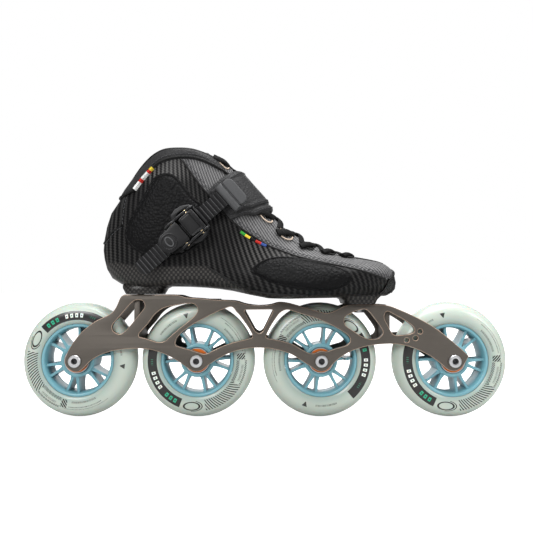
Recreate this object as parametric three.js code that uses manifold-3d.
// Inline speed skate for the right foot, toe towards +X, lateral (buckle) side towards -Y, +Z up.
// Millimetres. The origin is on the floor, under the middle of the wheelbase and in the plane of the wheels.
// Four wheels on cartridge bearings run in a one-piece frame. A carbon shell with a laced upper is bolted
// to the frame at two places, and a ratchet buckle with a toothed strap closes the ankle strap.
import * as THREE from "three";
import { mergeVertices } from "three/addons/utils/BufferGeometryUtils.js";
import Module from "manifold-3d";

const wasm = await Module();
wasm.setup();

// ---- Driving dimensions -------------------------------------------------------------------------
const wheelDiameter = 100;
const wheelWidth = 24;
const wheelGaps = [4, 7, 14]; // between neighbouring tyres, rear to front
const coreDiameter = 63;
const coreBossDiameter = 29;
const spokePairs = 6;

const bearingBore = 8;
const bearingOuter = 22;
const bearingWidth = 7;
const spacerLength = 10.2;
const axleHeadDiameter = 11;
const axleHeadHeight = 1.6;
const hexSocket = 4;

const wheelClearance = 1; // tyre side to plate
const plateThickness = 4;
const heelPlatformHeight = 57; // above the axles
const toePlatformHeight = 48.4; // above the axles
const platformThickness = 4;
const heelBoltX = -111;
const mountPitch = 195; // heel bolt to toe bolt
const mountBoltDiameter = 6;
const mountSlotTravel = 8;
const washerThickness = 1;
const boltHeadHeight = 2.5;

const bootLength = 259;
const bootWidth = 95;
const wallThickness = 3;
const liningThickness = 2.6;
const tongueThickness = 3.2;
const insoleThickness = 4;
const heelBlock = { length: 33, width: 46, taper: 6 };
const toeBlock = { length: 29, width: 50, taper: 6 };

const ladderWidth = 14;
const ladderThickness = 1.6;
const toothHeight = 0.9;
const toothPitch = 3.6;
const ladderRadius = 118; // to the strap's inner face
const strapTilt = 41.3; // degrees from level
const screwU = 4; // strap screw, along the strap from the buckle's origin
const fitGap = 0.3; // between pieces that touch on the real skate
const runGap = 0.5; // between pieces that move past each other

// ---- Places worked out from them ---------------------------------------------------------------
const wheelRadius = wheelDiameter / 2;
const axleZ = wheelRadius;
const pitches = wheelGaps.map((gap) => wheelDiameter + gap);
const wheelbase = pitches.reduce((sum, pitch) => sum + pitch, 0);
const axleX = [-wheelbase / 2];
for (const pitch of pitches) axleX.push(axleX[axleX.length - 1] + pitch);

const plateInner = wheelWidth / 2 + wheelClearance;
const plateOuter = plateInner + plateThickness;
const heelPlatformZ = axleZ + heelPlatformHeight;
const toePlatformZ = axleZ + toePlatformHeight;
const toeBoltX = heelBoltX + mountPitch;
const roundSegments = 12;
const wheelSegments = 24;

const skate = new THREE.Group();
const material = (color, roughness, metalness = 0) =>
  new THREE.MeshStandardMaterial({ color, roughness, metalness });
const finish = {
  tyre: material(0xd3ddd0, 0.35),
  core: material(0x7ab6c6, 0.4),
  steel: material(0xb9bcc0, 0.3, 1),
  bearing: material(0xc2571a, 0.5),
  frame: material(0x6b6259, 0.45, 0.8),
  axle: material(0xe3e3e6, 0.25, 0.9),
  carbon: material(0x1c1d1f, 0.3),
  upper: material(0x232426, 0.5),
  lining: material(0x151515, 0.9),
  lace: material(0x121212, 0.9),
  strap: material(0x2e2f31, 0.6),
  block: material(0x55575a, 0.55),
  label: material(0xd8d8d6, 0.8),
  plastic: material(0x0c0c0d, 0.35),
  brass: material(0xb59a63, 0.35, 1),
};

// ---- Small tools -------------------------------------------------------------------------------
// A closed three.js geometry as a manifold-3d solid.
function solid(geometry) {
  const bare = geometry.index ? geometry.toNonIndexed() : geometry.clone();
  bare.deleteAttribute("normal");
  bare.deleteAttribute("uv");
  const merged = mergeVertices(bare, 1e-4);
  return new wasm.Manifold(
    new wasm.Mesh({
      numProp: 3,
      vertProperties: merged.attributes.position.array,
      triVerts: new Uint32Array(merged.index.array),
    }),
  );
}

// A manifold-3d solid as a three.js geometry.
function geometryOf(body) {
  const mesh = body.getMesh();
  const geometry = new THREE.BufferGeometry();
  geometry.setAttribute("position", new THREE.BufferAttribute(mesh.vertProperties, 3));
  geometry.setIndex(new THREE.BufferAttribute(mesh.triVerts, 1));
  geometry.computeVertexNormals();
  return geometry;
}

function addPiece(name, geometry, pieceFinish, parent = skate) {
  const mesh = new THREE.Mesh(geometry, pieceFinish);
  mesh.name = name;
  parent.add(mesh);
  return mesh;
}

// Turns a closed profile of [radius, y] points round the Y axis.
function lathe(profile, segments = roundSegments) {
  const points = [...profile, profile[0]].map(([r, y]) => new THREE.Vector2(r, y));
  return new THREE.LatheGeometry(points, segments, -Math.PI / 2 - Math.PI / segments);
}

// Extrudes a shape drawn in X and Z from y0 to y1.
function extrudeAcross(shape, y0, y1, curveSegments = 4) {
  const options = { depth: y1 - y0, bevelEnabled: false, curveSegments };
  return new THREE.ExtrudeGeometry(shape, options).rotateX(Math.PI / 2).translate(0, y1, 0);
}

// Extrudes a shape drawn in X and Y from z0 to z1.
function extrudeUp(shape, z0, z1, curveSegments = 4) {
  const options = { depth: z1 - z0, bevelEnabled: false, curveSegments };
  return new THREE.ExtrudeGeometry(shape, options).translate(0, 0, z0);
}

function polygon(points) {
  return new THREE.Shape(points.map(([x, y]) => new THREE.Vector2(x, y)));
}

// A closed smooth outline through the given points.
function smoothLoop(points, perPoint = 1) {
  const curve = new THREE.CatmullRomCurve3(
    points.map(([x, y]) => new THREE.Vector3(x, y, 0)),
    true,
    "centripetal",
  );
  return curve.getPoints(points.length * perPoint).slice(0, -1).map((p) => [p.x, p.y]);
}

function circlePoints(cx, cy, radius, from, to, count) {
  const points = [];
  for (let i = 0; i <= count; i++) {
    const angle = THREE.MathUtils.degToRad(from + ((to - from) * i) / count);
    points.push([cx + radius * Math.cos(angle), cy + radius * Math.sin(angle)]);
  }
  return points;
}

// A cylinder along Y.
function rodAcross(radius, y0, y1, segments = roundSegments) {
  return new THREE.CylinderGeometry(radius, radius, y1 - y0, segments).translate(0, (y0 + y1) / 2, 0);
}

const box = (x0, x1, y0, y1, z0, z1) =>
  new THREE.BoxGeometry(x1 - x0, y1 - y0, z1 - z0).translate((x0 + x1) / 2, (y0 + y1) / 2, (z0 + z1) / 2);

// ---- Wheels, bearings and axles ----------------------------------------------------------------
// The corners of a faceted tyre stand out a little, so that its flats are at the true radius.
const facetRadius = (radius, segments) => radius / Math.cos(Math.PI / segments);

function tyre() {
  const half = wheelWidth / 2;
  const inner = coreDiameter / 2 + fitGap;
  const rim = facetRadius(wheelRadius, wheelSegments);
  return lathe(
    [
      [inner, -half + 1.8],
      [inner + 5, -half],
      [rim - 7, -half + 0.9],
      [rim - 2.2, -half + 5],
      [rim, -2],
      [rim, 2],
      [rim - 2.2, half - 5],
      [rim - 7, half - 0.9],
      [inner + 5, half],
      [inner, half - 1.8],
    ],
    wheelSegments,
  );
}

const coreRimHalf = wheelWidth / 2 - 1.9;
const coreBossHalf = spacerLength / 2 + bearingWidth - 0.5;
const coreRimWall = 3.2;
const finDepth = 7.5; // each way from the middle
const finThickness = 2.6;

// The core: a rim, a boss with two bearing seats, and pairs of fins between them, with a wide window
// between the pairs and a narrow one inside each pair.
function core() {
  const rimOuter = coreDiameter / 2;
  const bossRadius = coreBossDiameter / 2;
  const seat = bearingOuter / 2 + fitGap;
  const rim = lathe(
    [
      [rimOuter - coreRimWall, -coreRimHalf + 1],
      [rimOuter, -coreRimHalf],
      [rimOuter, coreRimHalf],
      [rimOuter - coreRimWall, coreRimHalf - 1],
    ],
    wheelSegments,
  );
  const boss = lathe([
    [seat, -coreBossHalf],
    [bossRadius, -coreBossHalf],
    [bossRadius, coreBossHalf],
    [seat, coreBossHalf],
    [seat, spacerLength / 2],
    [seat - 2, spacerLength / 2],
    [seat - 2, -spacerLength / 2],
    [seat, -spacerLength / 2],
  ]);
  let body = solid(rim).add(solid(boss));
  for (let i = 0; i < spokePairs; i++)
    for (const lean of [-1, 1]) {
      const middle = THREE.MathUtils.degToRad((360 / spokePairs) * (i + 0.5));
      const foot = middle + THREE.MathUtils.degToRad(lean * 9);
      const tip = middle + THREE.MathUtils.degToRad(lean * 10.5);
      const from = new THREE.Vector2(Math.cos(foot), Math.sin(foot)).multiplyScalar(bossRadius - 1);
      const to = new THREE.Vector2(Math.cos(tip), Math.sin(tip)).multiplyScalar(rimOuter - coreRimWall / 2);
      const along = to.clone().sub(from).normalize().multiplyScalar(finThickness / 2);
      const fin = polygon([
        [from.x - along.y, from.y + along.x],
        [from.x + along.y, from.y - along.x],
        [to.x + along.y, to.y - along.x],
        [to.x - along.y, to.y + along.x],
      ]);
      body = body.add(solid(extrudeAcross(fin, -finDepth, finDepth)));
    }
  return geometryOf(body);
}

const raceWall = 1.9;
const bearingMiddle = (spacerLength + bearingWidth) / 2;

// The outer ring of a bearing with its seal, on the side that faces outwards. side is -1 or 1.
function bearingOuterRing(side) {
  const outer = bearingOuter / 2;
  const half = bearingWidth / 2;
  const sealInner = bearingBore / 2 + 2.1 + fitGap;
  const profile = [
    [outer - raceWall, -half],
    [outer, -half],
    [outer, half],
    [sealInner, half],
    [sealInner, half - 0.7],
    [outer - raceWall, half - 0.7],
  ];
  const ordered = side > 0 ? profile : profile.map(([r, y]) => [r, -y]).reverse();
  return lathe(ordered).translate(0, side * bearingMiddle, 0);
}

function bearingInnerRing(side) {
  const inner = bearingBore / 2 + fitGap / 2;
  const half = bearingWidth / 2;
  const ring = lathe([
    [inner, -half],
    [bearingBore / 2 + 2.1, -half],
    [bearingBore / 2 + 2.1, half],
    [inner, half],
  ]);
  return ring.translate(0, side * bearingMiddle, 0);
}

function spacer() {
  const half = spacerLength / 2 - fitGap / 2;
  const inner = bearingBore / 2 + fitGap / 2;
  return lathe([
    [inner, -half],
    [bearingBore / 2 + 1.8, -half],
    [bearingBore / 2 + 1.8, half],
    [inner, half],
  ]);
}

// The axle bolt: its head on the lateral side, its thread in the medial plate.
function axle() {
  const shaft = bearingBore / 2 - fitGap / 2;
  const headBase = -plateOuter - fitGap;
  const headTop = headBase - axleHeadHeight;
  const bolt = lathe([
    [0, headTop],
    [axleHeadDiameter / 2 - 0.7, headTop],
    [axleHeadDiameter / 2, headTop + 0.7],
    [axleHeadDiameter / 2, headBase],
    [shaft, headBase],
    [shaft, plateOuter - 0.4],
    [0, plateOuter - 0.4],
  ]);
  const socketDepth = 3;
  const socket = rodAcross(hexSocket / 2 / Math.cos(Math.PI / 6), headTop - 1, headTop + socketDepth, 6);
  return geometryOf(solid(bolt).subtract(solid(socket)));
}

// ---- Frame -------------------------------------------------------------------------------------
const bossRadius = 9;
const midX = (k, share) => axleX[k] + (axleX[k + 1] - axleX[k]) * share; // between axles k and k + 1

function frameOutline() {
  const under = [
    [axleX[0] - bossRadius, axleZ + 2],
    ...circlePoints(axleX[0], axleZ, bossRadius, 200, 295, 5),
    [axleX[0] + 11.5, axleZ - 2],
    [midX(0, 0.22), axleZ + 6],
    [midX(0, 0.5), axleZ + 11],
    [midX(0, 0.75), axleZ + 5.5],
    ...circlePoints(axleX[1], axleZ, bossRadius, 228, 312, 4),
    [midX(1, 0.17), axleZ + 2],
    [midX(1, 0.5), axleZ + 11.5],
    [midX(1, 0.8), axleZ + 4],
    ...circlePoints(axleX[2], axleZ, bossRadius, 228, 312, 4),
    [midX(2, 0.13), axleZ + 2.5],
    [midX(2, 0.3), axleZ + 12],
    [midX(2, 0.5), axleZ + 15],
    [midX(2, 0.75), axleZ + 9],
    ...circlePoints(axleX[3], axleZ, bossRadius, 230, 318, 4),
    [axleX[3] + 12, axleZ + 4.4],
  ];
  const over = [
    [axleX[3], axleZ + 16.5],
    [toeBoltX + 56, toePlatformZ - 16],
    [toeBoltX + 39, toePlatformZ - 7.5],
    [toeBoltX + 22, toePlatformZ],
    [toeBoltX - 14, toePlatformZ],
    [midX(2, 0.065), toePlatformZ - 7.5],
    [midX(1, 0.73), toePlatformZ + 1.2],
    [midX(1, 0.66), toePlatformZ + 2.2],
    [midX(1, 0.58), toePlatformZ - 0.6],
    [midX(1, 0.49), toePlatformZ - 1.2],
    [midX(1, 0.38), toePlatformZ + 0.5],
    [midX(1, 0.3), toePlatformZ + 3.4],
    [midX(1, 0.17), toePlatformZ + 3.6],
    [heelBoltX + 56, heelPlatformZ - 3.2],
    [heelBoltX + 42, heelPlatformZ - 2.7],
    [heelBoltX + 36, heelPlatformZ],
    [heelBoltX - 11, heelPlatformZ],
    [heelBoltX - 15, heelPlatformZ - 6],
    [heelBoltX - 20, heelPlatformZ - 15.5],
    [heelBoltX - 27, heelPlatformZ - 19.5],
    [axleX[0] + 11, axleZ + 30],
    [axleX[0] + 3, axleZ + 22.5],
    [axleX[0] - 5, axleZ + 11],
  ];
  return [...under, ...over];
}

// The windows of one side plate.
function frameWindows() {
  return [
    smoothLoop([
      [heelBoltX + 6, heelPlatformZ - 5.5],
      [heelBoltX + 7.5, heelPlatformZ - 11],
      [heelBoltX - 8, heelPlatformZ - 30],
      [heelBoltX - 15, heelPlatformZ - 33.5],
      [heelBoltX - 19, heelPlatformZ - 28],
      [heelBoltX - 6, heelPlatformZ - 10],
      [heelBoltX - 1, heelPlatformZ - 5],
    ]),
    smoothLoop([
      [midX(0, 0.54), axleZ + 21.5],
      [midX(0, 0.6), axleZ + 32],
      [midX(0, 0.68), axleZ + 43],
      [midX(0, 0.83), axleZ + 48],
      [midX(0, 0.97), axleZ + 48.5],
      [midX(0, 0.99), axleZ + 41],
      [midX(0, 0.78), axleZ + 22.5],
      [midX(0, 0.7), axleZ + 16.5],
      [midX(0, 0.56), axleZ + 19.5],
    ]),
    smoothLoop([
      [axleX[1] - 16.5, axleZ + 17],
      [axleX[1] - 11, axleZ + 26],
      [axleX[1] + 12, axleZ + 39.5],
      [midX(1, 0.27), axleZ + 46],
      [midX(1, 0.35), axleZ + 39.5],
      [midX(1, 0.43), axleZ + 26],
      [midX(1, 0.44), axleZ + 19.5],
      [midX(1, 0.22), axleZ + 13],
      [axleX[1] + 7, axleZ + 6.8 + 4.5],
      [axleX[1] - 4, axleZ + 6 + 4.5],
    ]),
    [
      [midX(1, 0.4), axleZ + 42.5],
      [midX(1, 0.41), axleZ + 43.8],
      [midX(1, 0.6), axleZ + 43.8],
      [midX(1, 0.61), axleZ + 42.5],
      [midX(1, 0.53), axleZ + 26],
      [midX(1, 0.505), axleZ + 24.3],
      [midX(1, 0.48), axleZ + 26],
    ].reverse(),
    smoothLoop([
      [midX(1, 0.74), axleZ + 43.5],
      [axleX[2] - 3, axleZ + 36],
      [axleX[2] + 21, axleZ + 23.5],
      [axleX[2] + 24, axleZ + 16],
      [axleX[2] + 8, axleZ + 10],
      [axleX[2], axleZ + 11],
      [axleX[2] - 8, axleZ + 8.5],
      [midX(1, 0.78), axleZ + 14.5],
      [midX(1, 0.56), axleZ + 19.5],
      [midX(1, 0.62), axleZ + 29],
    ]),
    smoothLoop([
      [toeBoltX - 15, toePlatformZ - 12],
      [toeBoltX - 7, toePlatformZ - 6.5],
      [toeBoltX + 3, toePlatformZ - 4.8],
      [toeBoltX + 14, toePlatformZ - 18],
      [toeBoltX + 17, toePlatformZ - 25],
      [toeBoltX + 12, toePlatformZ - 29.5],
      [toeBoltX + 3, toePlatformZ - 29],
      [toeBoltX - 14.5, toePlatformZ - 18],
    ]),
    smoothLoop([
      [toeBoltX + 19, toePlatformZ - 10],
      [toeBoltX + 22.5, toePlatformZ - 6.5],
      [toeBoltX + 36, toePlatformZ - 13],
      [toeBoltX + 43.5, toePlatformZ - 20.5],
      [toeBoltX + 40, toePlatformZ - 25.5],
      [toeBoltX + 28, toePlatformZ - 26.3],
    ]),
    ...[
      [49.2, -23],
      [45.2, -28.7],
      [37.6, -30.4],
    ].map(([dx, dz]) => circlePoints(toeBoltX + dx, toePlatformZ + dz, 2, 0, 300, 5)),
  ];
}

// A cross web between two wheels, waisted to clear both tyres.
function crossWeb(k, z0, z1, most) {
  const reach = wheelRadius + wheelClearance;
  const side = (z) => Math.sqrt(Math.max(0, reach * reach - (z - axleZ) * (z - axleZ)));
  const points = [];
  const steps = 4;
  for (let i = 0; i <= steps; i++) {
    const z = z0 + ((z1 - z0) * i) / steps;
    points.push([Math.min(axleX[k + 1] - side(z), midX(k, 0.5) + most / 2), z]);
  }
  for (let i = steps; i >= 0; i--) {
    const z = z0 + ((z1 - z0) * i) / steps;
    points.push([Math.max(axleX[k] + side(z), midX(k, 0.5) - most / 2), z]);
  }
  return extrudeAcross(polygon(points), -plateInner - 0.5, plateInner + 0.5);
}

function frame() {
  const plate = polygon(frameOutline());
  const holes = frameWindows();
  for (const hole of holes) plate.holes.push(new THREE.Path(hole.map(([x, y]) => new THREE.Vector2(x, y))));
  let body = solid(extrudeAcross(plate, -plateOuter, -plateInner));
  body = body.add(solid(extrudeAcross(plate, plateInner, plateOuter)));
  const heelDeck = box(heelBoltX - 11.5, heelBoltX + 30, -plateInner - 1, plateInner + 1,
    heelPlatformZ - platformThickness, heelPlatformZ);
  const toeDeck = box(toeBoltX - 8, toeBoltX + 21, -plateInner - 1, plateInner + 1,
    toePlatformZ - platformThickness, toePlatformZ);
  body = body.add(solid(heelDeck)).add(solid(toeDeck));
  const heelWebTop = heelPlatformZ - platformThickness + 1;
  const toeWebTop = toePlatformZ - platformThickness + 1;
  body = body.add(solid(crossWeb(0, axleZ + 16.5, heelWebTop, 5)));
  body = body.add(solid(crossWeb(1, axleZ + 12.5, axleZ + 22, 13)));
  body = body.add(solid(crossWeb(2, axleZ + 17, toeWebTop, 5)));
  // Bosses that meet the bearings' inner rings, and the slots for the mounting bolts.
  const bearingFace = spacerLength / 2 + bearingWidth + fitGap;
  for (const x of axleX)
    for (const side of [-1, 1]) {
      const near = Math.min(side * bearingFace, side * (plateInner + 1));
      const far = Math.max(side * bearingFace, side * (plateInner + 1));
      body = body.add(solid(rodAcross(6.2, near, far).translate(x, 0, axleZ)));
    }
  for (const x of axleX) {
    const bore = rodAcross(bearingBore / 2 + fitGap / 2, -plateOuter - 1, plateOuter + 1);
    body = body.subtract(solid(bore.translate(x, 0, axleZ)));
  }
  for (const [x, top] of [[heelBoltX, heelPlatformZ], [toeBoltX, toePlatformZ]]) {
    const slot = slotAcross(mountBoltDiameter / 2 + fitGap, mountSlotTravel);
    body = body.subtract(solid(extrudeUp(slot, top - platformThickness - 20, top + 1).translate(x, 0, 0)));
    const pocket = rodAcross(8.5, 0, 12).rotateX(Math.PI / 2);
    body = body.subtract(solid(pocket.translate(x, 0, top - platformThickness - 12)));
  }
  return geometryOf(body);
}

// A slot with round ends that runs across the skate.
function slotAcross(radius, travel) {
  return polygon([
    ...circlePoints(0, travel / 2, radius, 0, 180, 6),
    ...circlePoints(0, -travel / 2, radius, 180, 360, 6),
  ]);
}


for (let k = 0; k < axleX.length; k++) {
  const number = k + 1;
  const at = (geometry) => geometry.translate(axleX[k], 0, axleZ);
  addPiece(`wheel_${number}_tyre`, at(tyre()), finish.tyre);
  addPiece(`wheel_${number}_core`, at(core()), finish.core);
  for (const [sideName, side] of [["lateral", -1], ["medial", 1]]) {
    addPiece(`wheel_${number}_bearing_outer_${sideName}`, at(bearingOuterRing(side)), finish.bearing);
    addPiece(`wheel_${number}_bearing_inner_${sideName}`, at(bearingInnerRing(side)), finish.steel);
  }
  addPiece(`wheel_${number}_spacer`, at(spacer()), finish.steel);
  addPiece(`wheel_${number}_axle`, at(axle()), finish.axle);
}

addPiece("frame", frame(), finish.frame);

// The bolts that hold the boot: head and washer under the platform, thread in the boot's block.
for (const [name, x, top] of [["heel", heelBoltX, heelPlatformZ], ["toe", toeBoltX, toePlatformZ]]) {
  const under = top - platformThickness - fitGap;
  const shaft = mountBoltDiameter / 2;
  const washer = lathe([
    [shaft + 0.2, -washerThickness],
    [7.2, -washerThickness],
    [7.2, 0],
    [shaft + 0.2, 0],
  ]);
  addPiece(`${name}_mount_washer`, washer.rotateX(Math.PI / 2).translate(x, 0, under), finish.steel);
  const headTop = under - washerThickness - fitGap;
  const boltReach = platformThickness + washerThickness + 3 * fitGap + 6.3;
  const bolt = lathe([
    [0, -boltHeadHeight],
    [5, -boltHeadHeight],
    [5, 0],
    [shaft, 0],
    [shaft, boltReach],
    [0, boltReach],
  ]);
  const socket = rodAcross(2 / Math.cos(Math.PI / 6), -boltHeadHeight - 1, -0.8, 6);
  const cut = geometryOf(solid(bolt).subtract(solid(socket)));
  addPiece(`${name}_mount_bolt`, cut.rotateX(Math.PI / 2).translate(x, 0, headTop), finish.steel);
}

// ---- Boot --------------------------------------------------------------------------------------
// The last is drawn for a boot 259 long, 133 high and 95 wide, then scaled. Each station is a ring
// that leans from a point on the back or sole to a point on the front: back x, z, front x, z, half
// width, shift to the medial side, squareness at the back or sole and at the front.
const last = [
  [44, 134, 96, 137, 31.5, 0, 2.3, 2.3],
  [37, 119, 106, 119, 33, 0, 2.3, 2.3],
  [29, 109, 117, 109.5, 34.5, 0, 2.3, 2.3],
  [16.6, 90, 130, 96, 36, 0, 2.4, 2.3],
  [4.8, 71, 142, 84, 37, 0, 2.4, 2.3],
  [0, 47, 158, 67.6, 37, 0, 2.5, 2.3],
  [1, 31, 168.5, 59, 36.5, 0, 2.5, 2.3],
  [9, 14, 178.8, 52, 36, 0, 2.6, 2.3],
  [30, 6, 187, 47, 36, 0, 2.8, 2.3],
  [62, 7, 196, 43.5, 36.5, 0, 2.8, 2.3],
  [92, 6, 204, 41.5, 38, -0.5, 2.8, 2.3],
  [117, 3, 214, 39.5, 41, -1, 2.8, 2.3],
  [148, -3.5, 225, 36.5, 45, -1.5, 2.8, 2.3],
  [182, -3.5, 238, 31.5, 47.5, -1, 2.8, 2.4],
  [212, -3, 249, 28, 44.5, 1, 2.8, 2.5],
  [234, -2.5, 256, 22, 36, 3.5, 2.8, 2.6],
  [248, -1, 259, 13, 23, 5.5, 2.6, 2.5],
];
const lastSize = { length: 259, height: 133, width: 95 };
const bootHeight = 133;
const bootBack = heelBoltX - 33.7 * (bootLength / lastSize.length);
const bootX = (x) => bootBack + (x * bootLength) / lastSize.length;
const bootZ = (z) => heelPlatformZ + (z > 0 ? (z * bootHeight) / lastSize.height : z);
const bootY = (y) => (y * bootWidth) / lastSize.width;
const ringSegments = 18;

// The last, grown outwards by the given amount or shrunk when it is negative.
function bootSolid(grow) {
  const backs = last.map(([x, z]) => new THREE.Vector2(bootX(x), bootZ(z)));
  const fronts = last.map(([, , x, z]) => new THREE.Vector2(bootX(x), bootZ(z)));
  const moved = (line, sign) =>
    line.map((point, i) => {
      const before = line[Math.max(0, i - 1)];
      const after = line[Math.min(line.length - 1, i + 1)];
      const along = after.clone().sub(before).normalize();
      return point.clone().add(new THREE.Vector2(along.y, -along.x).multiplyScalar(sign * grow));
    });
  const back = moved(backs, 1);
  const front = moved(fronts, -1);
  const end = last.length - 1;
  back[end].x += grow;
  front[end].x += grow * 0.4;
  const geometry = new THREE.CylinderGeometry(1, 1, 1, ringSegments, end);
  const position = geometry.attributes.position;
  for (let v = 0; v < position.count; v++) {
    const i = Math.round((0.5 - position.getY(v)) * end);
    const [, , , , width, shift, backPower, frontPower] = last[i];
    const reach = Math.hypot(position.getX(v), position.getZ(v));
    const cos = position.getX(v);
    const sin = position.getZ(v);
    const power = 2 / (cos < 0 ? backPower : frontPower);
    const along = reach < 0.5 ? 0 : Math.sign(cos) * Math.abs(cos) ** power;
    const across = reach < 0.5 ? 0 : Math.sign(sin) * Math.abs(sin) ** power;
    const middle = back[i].clone().add(front[i]).multiplyScalar(0.5);
    const half = front[i].clone().sub(back[i]).multiplyScalar(0.5);
    position.setXYZ(
      v,
      middle.x + half.x * along,
      bootY(shift) - across * (bootY(width) + grow),
      middle.y + half.y * along,
    );
  }
  return solid(geometry);
}

// A prism across the skate over an outline in the boot's own X and Z.
function bootPrism(points, y0 = -90, y1 = 90) {
  return solid(extrudeAcross(polygon(points.map(([x, z]) => [bootX(x), bootZ(z)])), y0, y1));
}

const seamLine = [[-20, 74], [5, 76], [24, 84], [43, 101], [54, 109], [74.5, 115], [91, 114.2], [106, 108], [150, 88]];
const rollLine = [[-20, 88], [5, 90], [24, 96], [41.7, 109], [54, 118.6], [69, 123.5], [84, 122.7], [98.5, 117], [150, 94]];
const aboveSeam = bootPrism([...seamLine, [150, 180], [-20, 180]]);
const aboveSeamGap = aboveSeam.translate([0, 0, fitGap]);
const aboveRoll = bootPrism([...rollLine, [150, 180], [-20, 180]]);

// The throat: the strip open at the front, from the collar to the last lace.
const throatHalf = 13;
const throatFront = [[90, 150], [140, 110], [165, 84], [185, 68], [208, 56], [214, 46]];
const throatBack = [[206, 30], [190, 34], [165, 46], [145, 60], [128, 74], [112, 90], [96, 104], [80, 130]];
const throat = (trim) => bootPrism([...throatFront, ...throatBack], -throatHalf + trim, throatHalf - trim);

const outerBoot = bootSolid(0);
const shellInside = bootSolid(-wallThickness);
const liningOutside = bootSolid(-wallThickness - fitGap);
const liningInside = bootSolid(-wallThickness - liningThickness);

// A block under the sole, wider where it meets the sole than where it meets the frame.
function soleBlock(x, width, length, taper, z0, z1) {
  const block = box(x - length / 2, x + length / 2, -width / 2, width / 2, z0, z1);
  const position = block.attributes.position;
  for (let v = 0; v < position.count; v++)
    if (position.getZ(v) > (z0 + z1) / 2) {
      position.setX(v, x + (position.getX(v) - x) * (1 + taper / length));
      position.setY(v, position.getY(v) * (1 + taper / width));
    }
  return solid(block);
}

const heelBlockBase = heelPlatformZ + fitGap;
const toeBlockBase = toePlatformZ + fitGap;
let shell = outerBoot
  .add(soleBlock(heelBoltX, heelBlock.width, heelBlock.length, heelBlock.taper, heelBlockBase, bootZ(14)))
  .add(soleBlock(toeBoltX, toeBlock.width, toeBlock.length, toeBlock.taper, toeBlockBase, bootZ(6)))
  .subtract(shellInside)
  .subtract(aboveSeam)
  .subtract(throat(0));
for (const [x, base] of [[heelBoltX, heelBlockBase], [toeBoltX, toeBlockBase]]) {
  const thread = rodAcross(mountBoltDiameter / 2 + fitGap, -1, 7.2).rotateX(Math.PI / 2);
  shell = shell.subtract(solid(thread.translate(x, 0, base)));
}
const strapAngle = THREE.MathUtils.degToRad(strapTilt);
const strapCentre = { x: bootX(80.7), z: bootZ(53) };
const screwX = strapCentre.x + screwU * Math.cos(strapAngle);
const screwZ = strapCentre.z + screwU * Math.sin(strapAngle);
const screwHole = rodAcross(2.2 + fitGap, 20, 60).translate(screwX, 0, screwZ);
shell = shell.subtract(solid(screwHole));
addPiece("boot_shell", geometryOf(shell), finish.carbon);

const lining = outerBoot
  .intersect(aboveSeamGap)
  .add(liningOutside)
  .subtract(liningInside)
  .subtract(aboveRoll)
  .subtract(throat(0));
addPiece("boot_lining", geometryOf(lining), finish.lining);

const insoleTop = [[-10, 16], [30, 15.5], [62, 16.5], [92, 16], [117, 12.5], [148, 7.5], [182, 6.5], [215, 7], [250, 9]];
const insoleRegion = bootPrism([...insoleTop, [250, -30], [-10, -30]]);
const insole = bootSolid(-wallThickness - liningThickness - fitGap).intersect(insoleRegion);
addPiece("boot_insole", geometryOf(insole), finish.lining);

const tongue = bootSolid(-1.2)
  .subtract(bootSolid(-1.2 - tongueThickness))
  .intersect(throat(fitGap))
  .subtract(aboveRoll.translate([0, 0, 5]));
addPiece("boot_tongue", geometryOf(tongue), finish.upper);

// Thin pieces sewn onto the boot: everything between two offsets inside an outline.
const sewnBand = (low, high, region) => bootSolid(high).subtract(bootSolid(low)).intersect(region);
const sewnThickness = 0.9;

const stayOuter = 25;
for (const [sideName, y0, y1] of [["lateral", -stayOuter, -throatHalf - 0.4], ["medial", throatHalf + 0.4, stayOuter]]) {
  const region = bootPrism(
    [[108, 116], [132, 106], [165, 84], [185, 68], [206, 58], [206, 38], [190, 36], [165, 48], [140, 66], [122, 84], [104, 100]],
    y0,
    y1,
  );
  const stay = sewnBand(fitGap, fitGap + sewnThickness, region);
  addPiece(`eyelet_stay_${sideName}`, geometryOf(stay), finish.upper);
}

// Pebbled pads, glued on the lateral side, and the sewn label at the back of the collar.
const ankleArea = [[50, 93], [58, 99], [68, 100.5], [76, 97], [93, 74], [102, 58], [92, 42], [70, 31], [42, 34], [24, 50], [30, 72]];
const forefootArea = [[126, 20], [134, 28], [158, 34], [182, 28], [204, 16], [212, 10], [196, 3], [170, 2], [140, 8]];
for (const [name, area] of [["ankle_pad", ankleArea], ["forefoot_pad", forefootArea]])
  addPiece(`${name}_lateral`, geometryOf(sewnBand(fitGap, fitGap + sewnThickness, bootPrism(area, -90, -10))), finish.upper);
const labelArea = [[29, 91], [33, 87.5], [52, 106], [48, 110]];
const label = sewnBand(fitGap, fitGap + sewnThickness, bootPrism(labelArea, -90, -10));
addPiece("collar_label", geometryOf(label), finish.label);

// One lace, run across the throat and down alternate edges from eyelet to eyelet.
const laceRadius = 1.5;
const laceAt = [110, 127, 158.5, 171.5, 186, 202];
const laceSide = 17;
const laceLift = fitGap + sewnThickness + laceRadius + 0.9;

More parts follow.
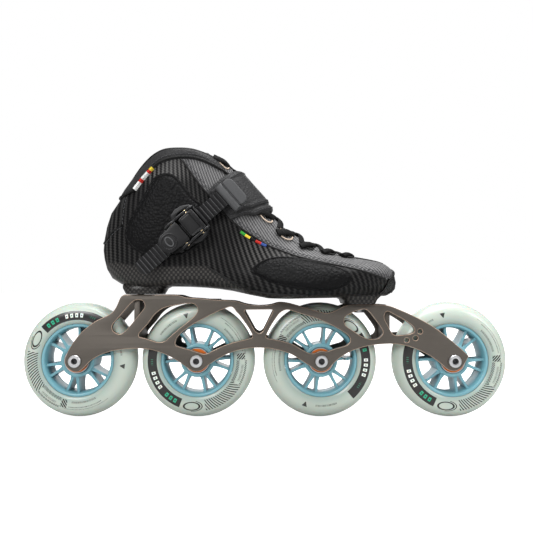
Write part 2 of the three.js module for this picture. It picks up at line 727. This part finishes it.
// A point above the front of the last, at the given front x (in the last's own size) and y.
function frontPoint(frontX, y, lift) {
  const i = last.findIndex((station) => station[2] >= frontX);
  const share = (frontX - last[i - 1][2]) / (last[i][2] - last[i - 1][2]);
  const [backX, backZ, , frontZ, width, shift, , power] = last[i].map((value, j) =>
    THREE.MathUtils.lerp(last[i - 1][j], value, share),
  );
  const reach = Math.abs((y - bootY(shift)) / bootY(width));
  const along = ((1 - reach ** power) ** (1 / power) + 1) / 2;
  const slope = new THREE.Vector2(last[i - 1][3] - last[i][3], last[i][2] - last[i - 1][2]).normalize();
  return new THREE.Vector3(
    THREE.MathUtils.lerp(bootX(backX), bootX(frontX), along) + slope.x * lift,
    y,
    THREE.MathUtils.lerp(bootZ(backZ), bootZ(frontZ), along) + slope.y * lift,
  );
}

const lacePath = [];
laceAt.forEach((x, i) => {
  const side = i % 2 ? 1 : -1;
  for (const share of [1, 0.6, 0, -0.6, -1]) lacePath.push(frontPoint(x, side * share * laceSide, laceLift));
});
const laceCurve = new THREE.CatmullRomCurve3(lacePath, false, "centripetal");
const laceRound = polygon(circlePoints(0, 0, laceRadius, 0, 288, 4));
const lace = new THREE.ExtrudeGeometry(laceRound, {
  steps: lacePath.length * 2,
  extrudePath: laceCurve,
  bevelEnabled: false,
});
addPiece("lace", lace, finish.lace);

// ---- Ankle strap and ratchet buckle ------------------------------------------------------------
// The buckle has its own frame: u along the toothed strap (up and forwards), v across it and n away
// from the boot. Its origin is on the boot's lateral side.
const sideY = bootY(37) + fitGap + sewnThickness + fitGap;
const buckleU = new THREE.Vector3(Math.cos(strapAngle), 0, Math.sin(strapAngle));
const buckleN = new THREE.Vector3(0, -1, 0);
const buckleV = new THREE.Vector3().crossVectors(buckleN, buckleU);
const buckleOrigin = new THREE.Vector3(strapCentre.x, -sideY, strapCentre.z);
const toBuckle = new THREE.Matrix4().makeBasis(buckleU, buckleV, buckleN).setPosition(buckleOrigin);
const onBuckle = (geometry) => geometry.applyMatrix4(toBuckle);

// Extrudes a profile drawn in u and n from v0 to v1, in the buckle's frame.
const buckleBar = (points, v0, v1) => extrudeAcross(polygon(points), v0, v1);
const buckleBox = (u0, u1, v0, v1, n0, n1) => box(u0, u1, v0, v1, n0, n1);

const floorTop = 1.5;
const ladderBase = floorTop + runGap;
const ladderTop = ladderBase + ladderThickness;
const toothTop = ladderTop + toothHeight;
const ladderFrom = -52;
const ladderTo = 51;
const baseHalf = 11.8;
const wallIn = 10;
const leverPin = { u: -6.5, n: 8.2, radius: 1.3 };
const pawlPin = { u: 9, n: 7.7, radius: 1.1 };

function ladder() {
  const half = ladderWidth / 2;
  const corner = 4;
  const outline = [
    ...circlePoints(ladderFrom + corner, half - corner, corner, 90, 180, 4),
    ...circlePoints(ladderFrom + corner, -half + corner, corner, 180, 270, 4),
    [ladderTo, -half],
    [ladderTo, half],
  ];
  let body = solid(extrudeUp(polygon(outline), ladderBase, ladderTop));
  for (let u = ladderFrom + 6; u < ladderTo - 14; u += toothPitch) {
    const tooth = [
      [u, ladderTop - 0.2],
      [u + 1.8, ladderTop - 0.2],
      [u + 1.4, toothTop],
      [u, toothTop],
    ];
    body = body.add(solid(buckleBar(tooth, -half + 1.4, half - 1.4)));
  }
  return onBuckle(geometryOf(body));
}

function buckleBase() {
  let body = solid(buckleBox(-16, 16.5, -baseHalf, baseHalf, 0, floorTop));
  const wall = [
    [-12, 0.5],
    [15, 0.5],
    [16.5, 4],
    [14, 9.6],
    [6, 10],
    [-2, 10.6],
    [-9, 10.8],
    [-13, 7],
  ];
  for (const [v0, v1] of [[-baseHalf, -wallIn], [wallIn, baseHalf]]) body = body.add(solid(buckleBar(wall, v0, v1)));
  for (const pin of [leverPin, pawlPin]) {
    const bore = rodAcross(pin.radius + 0.15, -20, 20).translate(pin.u, 0, pin.n);
    body = body.subtract(solid(bore));
  }
  return onBuckle(geometryOf(body));
}

// The lever: a thumb plate with a round end, carried on the hub round its pin.
function lever() {
  const plate = polygon([
    ...circlePoints(-16.5, 0, 8.4, 100, 260, 8),
    [-7, -8.4],
    [-3, -7],
    [-3, 7],
    [-7, 8.4],
  ]);
  let body = solid(extrudeUp(plate, leverPin.n + 1.2, leverPin.n + 3.4));
  const hub = rodAcross(3, -wallIn + 0.5, wallIn - 0.5).translate(leverPin.u, 0, leverPin.n);
  body = body.add(solid(hub));
  const bore = rodAcross(leverPin.radius + 0.15, -20, 20).translate(leverPin.u, 0, leverPin.n);
  return onBuckle(geometryOf(body.subtract(solid(bore))));
}

function pawl() {
  const half = wallIn - 0.5;
  const profile = [
    [pawlPin.u - 4.4, toothTop + fitGap],
    [pawlPin.u - 2.6, toothTop + fitGap],
    [pawlPin.u + 2.4, pawlPin.n - 2.4],
    [pawlPin.u + 6, pawlPin.n - 0.6],
    [pawlPin.u + 6, pawlPin.n + 1.6],
    [pawlPin.u + 1, pawlPin.n + 2.4],
    [pawlPin.u - 2.4, pawlPin.n + 1.6],
  ];
  const bore = rodAcross(pawlPin.radius + 0.15, -20, 20).translate(pawlPin.u, 0, pawlPin.n);
  return onBuckle(geometryOf(solid(buckleBar(profile, -half, half)).subtract(solid(bore))));
}

const pinRod = (pin) => onBuckle(rodAcross(pin.radius, -baseHalf - 0.3, baseHalf + 0.3, 12).translate(pin.u, 0, pin.n));

addPiece("ladder_strap", ladder(), finish.plastic);
addPiece("buckle_base", buckleBase(), finish.plastic);
addPiece("buckle_lever", lever(), finish.plastic);
addPiece("buckle_lever_pin", pinRod(leverPin), finish.brass);
addPiece("buckle_pawl", pawl(), finish.plastic);
addPiece("buckle_pawl_pin", pinRod(pawlPin), finish.brass);

// The keeper at the strap's lateral end, which grips the end of the toothed strap.
const keeperNear = 40;
const keeperFar = 54;
const keeperBottom = -3.2;
const keeper = solid(buckleBox(keeperNear, keeperFar, -15, 10, keeperBottom, 6)).subtract(
  solid(
    buckleBox(keeperNear - 1, ladderTo + fitGap, -ladderWidth / 2 - fitGap, ladderWidth / 2 + fitGap,
      ladderBase - fitGap, ladderTop + fitGap),
  ),
);
addPiece("strap_keeper", onBuckle(geometryOf(keeper)), finish.block);

// The padded strap: over the instep from the keeper to a slotted end on the medial side, where a
// screw holds it. It slides along u, so its inside clears the boot over the whole travel.
const strapTravel = 4 * toothPitch;
const strapHalf = 15;
const strapHeight = 5.2;
const wingReach = 14; // the strap's lower edge spreads this much further over the instep
const strapSideEnd = screwU - strapTravel - 12;
function ankleStrap() {
  const region = (u0, v0, v1, y0, y1) => {
    const bar = buckleBox(u0, 140, v0, v1, y0, y1);
    return solid(onBuckle(bar));
  };
  const lateral = region(keeperNear - 6, -strapHalf - 3, strapHalf - 3, -40, sideY);
  const medial = region(strapSideEnd, -strapHalf, strapHalf - 2, -140, -sideY);
  const wing = region(keeperFar - 4, -strapHalf - wingReach, strapHalf, -60, 20);
  const overLaceHeight = laceLift + laceRadius + 0.9;
  const middle = (half) => solid(box(-300, 300, -half, half, 0, 500));
  const arch = bootSolid(overLaceHeight + 2.8).intersect(middle(stayOuter + 4));
  const wrap = bootSolid(fitGap + strapHeight).add(arch).intersect(lateral.add(medial).add(wing));
  const overLace = bootSolid(overLaceHeight).intersect(middle(stayOuter + 1));
  let body = wrap.subtract(overLace);
  for (let step = 0; step <= 3; step++) {
    const shift = buckleU.clone().multiplyScalar((-strapTravel * step) / 3);
    body = body.subtract(bootSolid(fitGap + (step ? 0.1 : 0)).translate(shift.toArray()));
  }
  const keeperRoom = solid(onBuckle(buckleBox(keeperNear - 10, keeperFar + fitGap, -16, 11, keeperBottom - fitGap, 12)));
  const slotRadius = 2.2 + fitGap;
  const slot = polygon([
    ...circlePoints(screwU, 0, slotRadius, -90, 90, 6),
    ...circlePoints(screwU - strapTravel, 0, slotRadius, 90, 270, 6),
  ]);
  const slotCut = solid(onBuckle(extrudeUp(slot, -140, -sideY)));
  return body.subtract(keeperRoom).subtract(slotCut);
}
addPiece("ankle_strap", geometryOf(ankleStrap()), finish.strap);

// The screw that holds the strap's medial end: a disc head over the slot, shaft in the shell's wall.
const medialY = bootY(37);
const screw = lathe([
  [0, medialY - 1.4],
  [2.2, medialY - 1.4],
  [2.2, medialY + fitGap + strapHeight + fitGap],
  [6, medialY + fitGap + strapHeight + fitGap],
  [5, medialY + fitGap + strapHeight + fitGap + 1.8],
  [0, medialY + fitGap + strapHeight + fitGap + 1.8],
]);
const screwSpot = buckleOrigin.clone().addScaledVector(buckleU, screwU);
addPiece("strap_screw", screw.translate(screwSpot.x, 0, screwSpot.z), finish.steel);

skate.updateMatrixWorld(true);
export default skate;
